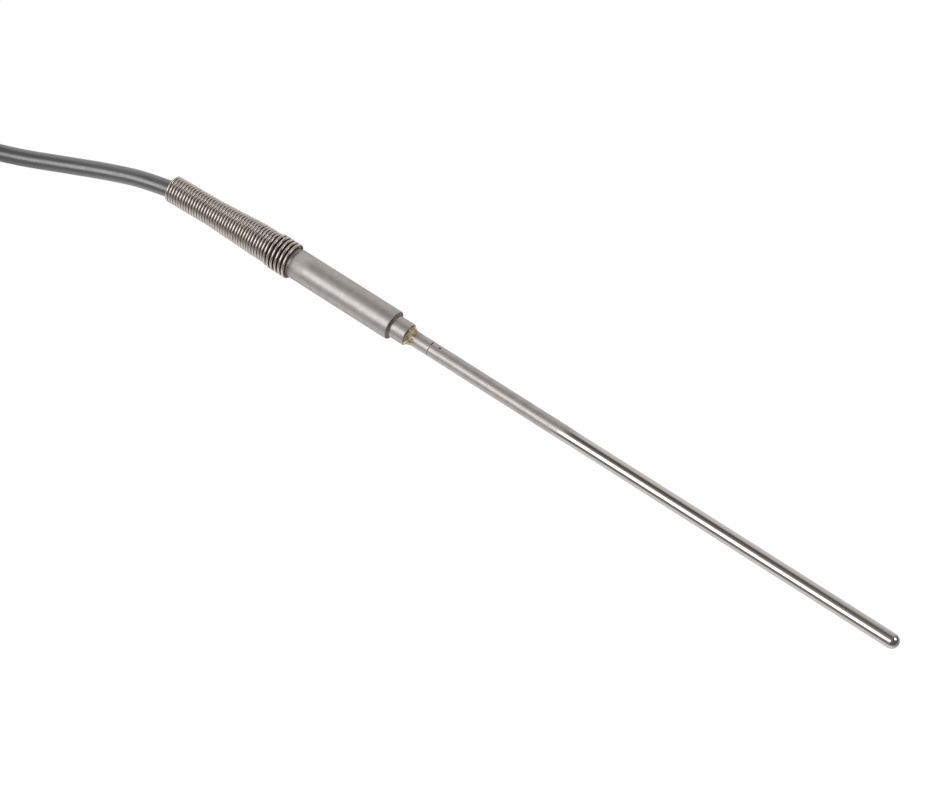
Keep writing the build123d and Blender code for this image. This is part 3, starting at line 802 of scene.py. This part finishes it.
def make_tie(material):
    loop = [strap_ring(point, out, TIE_WIDTH, STRAP_THICKNESS) for point, out in strap_line()]
    length, width, height = HEAD_SIZE
    low = TOP_Z + CORD_RADIUS
    head = bevelled_block(
        (TIE_X - length / 2, TIE_Y - width / 2, low),
        (TIE_X + length / 2, TIE_Y + width / 2, low + height),
        HEAD_BEVEL,
    )
    turn = math.radians(TAIL_SLOPE)
    out = Vector((0.0, math.sin(turn), math.cos(turn)))
    start_y, start_z = TIE_Y + TAIL_START[0], low + TAIL_START[1]
    tail = []
    for number in range(TAIL_RIDGES):
        along = number * TAIL_STEP
        ridge = 1.0 + 0.18 * (number % 2)
        place = Vector((TIE_X, start_y + along * math.cos(turn), start_z - along * math.sin(turn)))
        taper = 1.0 - TAIL_NARROWS * max(0, number - TAIL_FULL)
        tail.append(strap_ring(place, out, (TIE_WIDTH - 0.4) * taper, ridge))
    parts = merged(joined_rings(loop, closed=True), head, joined_rings(tail))
    return make_piece("hank_tie", *parts, material)


# ---- build

jacket = cable_jacket()
cord.data.materials.append(jacket)
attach(cord, "lead")
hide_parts("cable", "cable_hank", "cable_tail")

inner_lead = make_inner_lead(jacket)
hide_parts("cable_stub")
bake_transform(inner_lead)

spring = make_spring(spring_steel())
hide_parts("strain_spring")
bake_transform(spring)

# painted shade for the scribed dash and the pricked dot
painted_mark_shade = moulded_plastic("mark_painted_shade", (0.030, 0.026, 0.024), (0.050, 0.042, 0.038), 0.6)
tube = make_tube(probe_steel(), painted_mark_shade)
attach(tube, "probe")
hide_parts("sheath_tube", "tip_plug")

sleeve = make_sleeve(sleeve_steel())
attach(sleeve, "probe")
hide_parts("transition_sleeve")

braze = make_braze(braze_metal())
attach(braze, "probe")
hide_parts("braze_fillet")

tie = make_tie(moulded_plastic("tie_nylon", (0.018, 0.018, 0.020), (0.030, 0.030, 0.032), 0.42, depth=0.015))
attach(tie, "lead")
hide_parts("cable_tie")

ALONG_WIRE = (0.05, 1.0, 1.0)
GREEN, GREEN_SHADE = (0.060, 0.300, 0.110), (0.075, 0.340, 0.130)
PALE, PALE_SHADE = (0.760, 0.760, 0.740), (0.700, 0.700, 0.680)
slot_materials = {
    "plug_plastic": moulded_plastic("plug_plastic", (0.085, 0.082, 0.078), (0.105, 0.100, 0.095), 0.5),
    "pin_alloy": plated_metal("pin_alloy", (0.66, 0.63, 0.58), (0.56, 0.52, 0.46), 0.26, TURNING),
    "screw_steel": plated_metal("screw_steel", (0.58, 0.58, 0.59), (0.48, 0.48, 0.50)),
    "thermo_alloy": plated_metal("thermo_alloy", (0.55, 0.53, 0.49), (0.46, 0.43, 0.38), 0.34, ALONG_WIRE),
    "crimp_metal": plated_metal("crimp_metal", (0.66, 0.60, 0.48), (0.55, 0.48, 0.36), 0.3),
    "ceramic": porous("ceramic", (0.80, 0.77, 0.69), (0.70, 0.66, 0.57)),
    "cement": porous("cement", (0.55, 0.53, 0.48), (0.44, 0.42, 0.37), 900.0, 0.12),
    "resin": moulded_plastic("resin", (0.022, 0.022, 0.026), (0.030, 0.030, 0.034), 0.22, 300.0, 0.02),
    "sleeving": moulded_plastic("sleeving", (0.030, 0.030, 0.034), (0.042, 0.042, 0.046), 0.48, 900.0),
    "core_green": moulded_plastic("core_green", GREEN, GREEN_SHADE, 0.4, 1800.0, 0.01),
    "core_white": moulded_plastic("core_white", PALE, PALE_SHADE, 0.4, 1800.0, 0.01),
}
for subpart in frame["record"]["subparts"]:
    material = slot_materials.get(subpart["material_slot"])
    data = frame["nodes"][subpart["node"]].data
    if material:
        data.materials.clear()
        data.materials.append(material)


# ---- floor and light

FLOOR_SIZE = 6.0
FLOOR_DIM_Y = (-10.0, -40.0)  # the floor shows darker in the metal from here to here, as a table's edge would
FLOOR_DIM_X = (228.0, 242.0)
FLOOR_DIM = 0.3
WHITE = (1.0, 1.0, 1.0, 1.0)


def make_floor():
    half = FLOOR_SIZE / 2
    data = bpy.data.meshes.new("floor")
    corners = [(-half, -half), (half, -half), (half, half), (-half, half)]
    data.from_pydata([(x, y, FLOOR_Z * MM) for x, y in corners], [], [(0, 1, 2, 3)])
    floor = bpy.data.objects.new("floor", data)
    scene.collection.objects.link(floor)
    material = bpy.data.materials.new("floor")
    made = Nodes(material)
    made.tree.nodes.clear()
    split = made.node("SeparateXYZ", made.node("TexCoord").outputs["Object"])
    across = made.spread(split.outputs[1], FLOOR_DIM_Y[0] * MM, FLOOR_DIM_Y[1] * MM, 1.0, FLOOR_DIM)
    ahead = made.spread(split.outputs[0], FLOOR_DIM_X[0] * MM, FLOOR_DIM_X[1] * MM, 1.0, FLOOR_DIM)
    in_metal = made.node("LightPath").outputs["Is Glossy Ray"]
    bright = made.node("Mix", in_metal, None, 1.0, made.math("MINIMUM", across, ahead))
    glow = made.node("Emission", WHITE, bright.outputs[0])
    made.node("OutputMaterial", glow.outputs[0])
    data.materials.append(material)


SKY = (  # degrees from overhead towards -Y, and how bright the studio is there
    (-180.0, 1.0),
    (-95.0, 1.0),
    (-88.0, 0.86),
    (-62.0, 0.76),
    (-47.0, 0.68),
    (-35.0, 0.26),
    (-26.0, 0.11),
    (-8.0, 0.11),
    (4.0, 0.20),
    (14.0, 0.36),
    (24.0, 0.50),
    (68.0, 0.50),
    (79.0, 0.16),
    (87.0, 0.14),
    (96.0, 0.30),
    (110.0, 1.0),
)
SKY_TINT = (1.0, 0.962, 0.93)

SIDES = (  # share of the way towards +X, how bright the studio's side is there, and how far it covers the sky
    (-1.0, 1.0, 1.0),
    (-0.62, 1.0, 0.9),
    (-0.48, 1.0, 0.0),
    (-0.2, 0.3, 0.0),
    (-0.13, 0.3, 0.35),
    (0.12, 0.12, 0.8),
    (1.0, 0.12, 1.0),
)
SIDES_TINT = (1.0, 0.97, 0.945)


def coloured(made, value, stops):
    """Colour and alpha of a ramp through stops of (place from 0 to 1, brightness, tint, alpha)."""
    ramp = made.node("ValToRGB", value)
    elements = ramp.color_ramp.elements
    while len(elements) < len(stops):
        elements.new(1.0)
    for element, (place, bright, tint, alpha) in zip(elements, stops):
        element.position = place
        element.color = (*(bright * share for share in tint), alpha)
    return ramp.outputs


def make_world():
    """A studio whose brightness changes with the angle round the probe, and is plain white to the camera."""
    world = bpy.data.worlds.new("studio")
    scene.world = world
    made = Nodes(world)
    made.tree.nodes.clear()
    split = made.node("SeparateXYZ", made.node("TexCoord").outputs["Generated"])
    turn = made.math("ARCTAN2", made.math("MULTIPLY", split.outputs[1], -1.0), split.outputs[2])
    sky_stops = [((degrees + 180.0) / 360.0, bright, SKY_TINT, 1.0) for degrees, bright in SKY]
    sky = coloured(made, made.spread(turn, -math.pi, math.pi), sky_stops)
    side_stops = [((ahead + 1) / 2, bright, SIDES_TINT, cover) for ahead, bright, cover in SIDES]
    side = coloured(made, made.spread(split.outputs[0], -1.0, 1.0), side_stops)
    studio = made.node("Background", made.mixed(side[1], sky[0], side[0]))
    plain = made.node("Background", WHITE)
    to_camera = made.node("LightPath").outputs["Is Camera Ray"]
    mix = made.node("MixShader", to_camera, studio.outputs[0], plain.outputs[0])
    made.node("OutputWorld", mix.outputs[0])


SOFTBOX_TURN = 47.0  # degrees from overhead towards -Y
SOFTBOX_ALONG = -0.25  # share of the way towards +X
SOFTBOX_TARGET = (60.0, 0.0, 0.0)
SOFTBOX_DISTANCE = 1.6
SOFTBOX_SIZE = (0.95, 1.05)
SOFTBOX_GLOW = 2.2
SPOT_TOWARDS = (0.50, 0.45, 0.74)
SPOT_TARGET = (226.0, 0.0, 0.0)
SPOT_DISTANCE = 1.5
SPOT_SIZE = 0.9
SPOT_GLOW = 2.5


def hang(data, towards, target, distance):
    """Hang a light in a direction from its target, facing it, unseen by the camera."""
    light = bpy.data.objects.new(data.name, data)
    scene.collection.objects.link(light)
    light.location = in_metres(target) + towards * distance
    light.rotation_mode = "QUATERNION"
    light.rotation_quaternion = (-towards).to_track_quat("-Z", "Y")
    light.visible_camera = False


def make_softbox():
    data = bpy.data.lights.new("softbox", "AREA")
    data.shape = "RECTANGLE"
    data.size, data.size_y = SOFTBOX_SIZE
    data.energy = SOFTBOX_GLOW * math.pi * SOFTBOX_SIZE[0] * SOFTBOX_SIZE[1]
    turn = math.radians(SOFTBOX_TURN)
    level = math.sqrt(1 - SOFTBOX_ALONG**2)
    towards = Vector((SOFTBOX_ALONG, -math.sin(turn) * level, math.cos(turn) * level))
    hang(data, towards, SOFTBOX_TARGET, SOFTBOX_DISTANCE)


def make_spot():
    """A round light off the probe's tip."""
    data = bpy.data.lights.new("tip_light", "AREA")
    data.shape = "DISK"
    data.size = SPOT_SIZE
    data.energy = SPOT_GLOW * math.pi * math.pi * SPOT_SIZE**2 / 4
    hang(data, Vector(SPOT_TOWARDS).normalized(), SPOT_TARGET, SPOT_DISTANCE)


make_floor()
make_world()
make_softbox()
make_spot()
